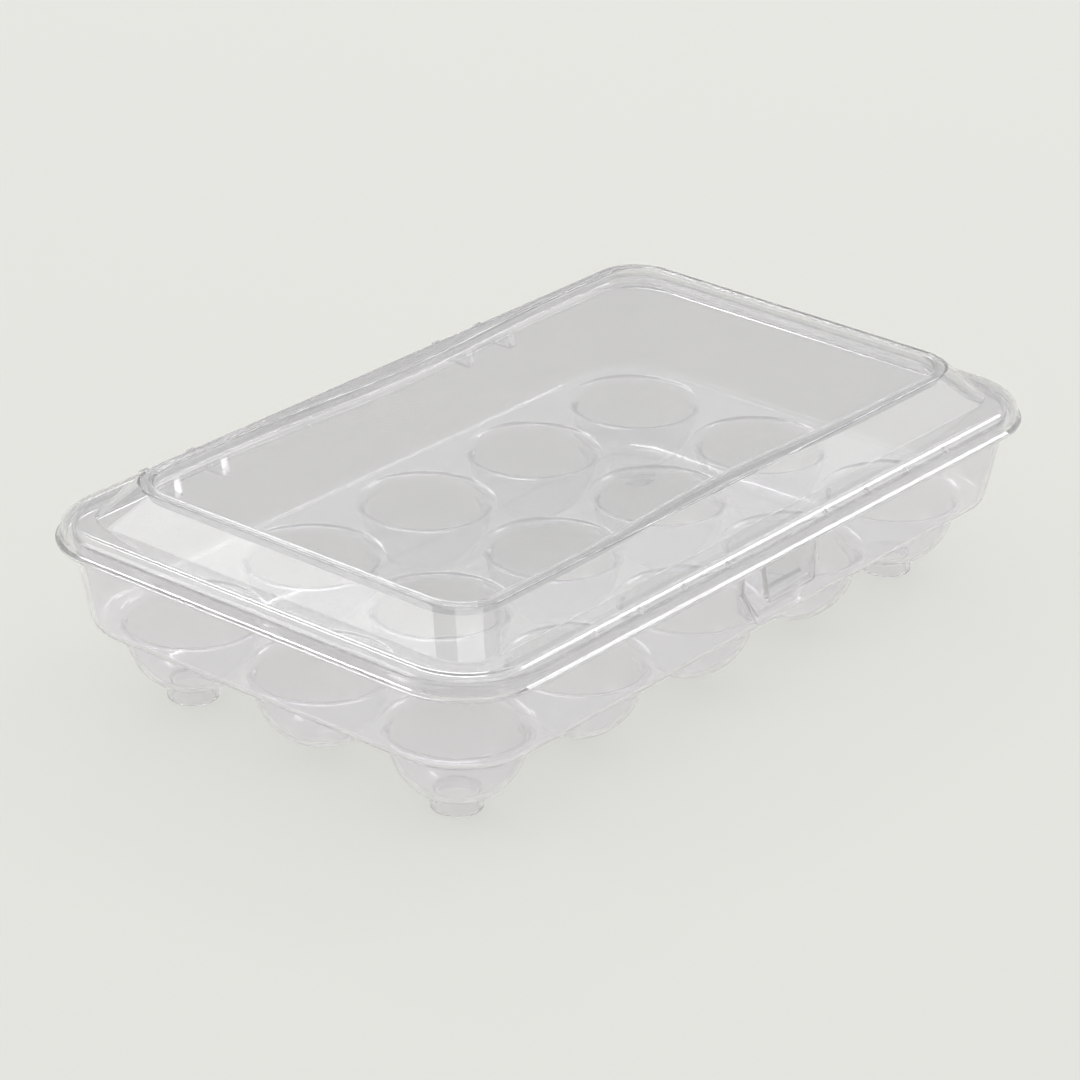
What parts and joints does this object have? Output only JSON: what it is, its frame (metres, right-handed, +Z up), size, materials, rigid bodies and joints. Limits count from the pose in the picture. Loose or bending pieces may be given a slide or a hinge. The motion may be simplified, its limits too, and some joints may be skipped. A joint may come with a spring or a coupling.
{
  "type": "egg keeper with flip lid",
  "caption": "Clear moulded egg keeper: a tray with rows of round egg cups on four small feet, and a domed lid that flips open on two back snap hinges and latches at the front.",
  "frame": {"origin": "on the surface it stands on, under the middle of the whole closed keeper, hinges and latch tab included", "axes": "+Z up, +X along the long side to the right seen from the front, -Y towards the latch, +Y towards the hinges"},
  "size_m": [0.2568, 0.169, 0.0638],
  "materials": {
    "clear_tray": "glossy, clear",
    "clear_lid": "glossy, clear"
  },
  "bodies": {
    "tray": {"tray_rim": "clear_tray", "tray_wall": "clear_tray", "cup_deck": "clear_tray", "foot_rings": "clear_tray", "hinge_ears_left": "clear_tray", "hinge_ears_right": "clear_tray", "hinge_pin_left": "clear_tray", "hinge_pin_right": "clear_tray", "cup_front_1": "clear_tray", "cup_front_2": "clear_tray", "cup_front_3": "clear_tray", "cup_front_4": "clear_tray", "cup_front_5": "clear_tray", "cup_second_1": "clear_tray", "cup_second_2": "clear_tray", "cup_second_3": "clear_tray", "cup_second_4": "clear_tray", "cup_second_5": "clear_tray", "cup_third_1": "clear_tray", "cup_third_2": "clear_tray", "cup_third_3": "clear_tray", "cup_third_4": "clear_tray", "cup_third_5": "clear_tray"},
    "lid": {"lid_skirt": "clear_lid", "lid_ledge": "clear_lid", "lid_dome": "clear_lid", "lid_panel": "clear_lid", "lid_stops": "clear_lid", "latch_tab": "clear_lid", "hinge_clip_left": "clear_lid", "hinge_clip_right": "clear_lid"}
  },
  "joints": [
    {"name": "lid_hinge", "type": "hinge", "parent": "tray", "child": "lid", "pos_m": [0, 0.07869, 0.0441], "axis": [-1, 0, 0], "range_deg": [0, 105]}
  ]
}
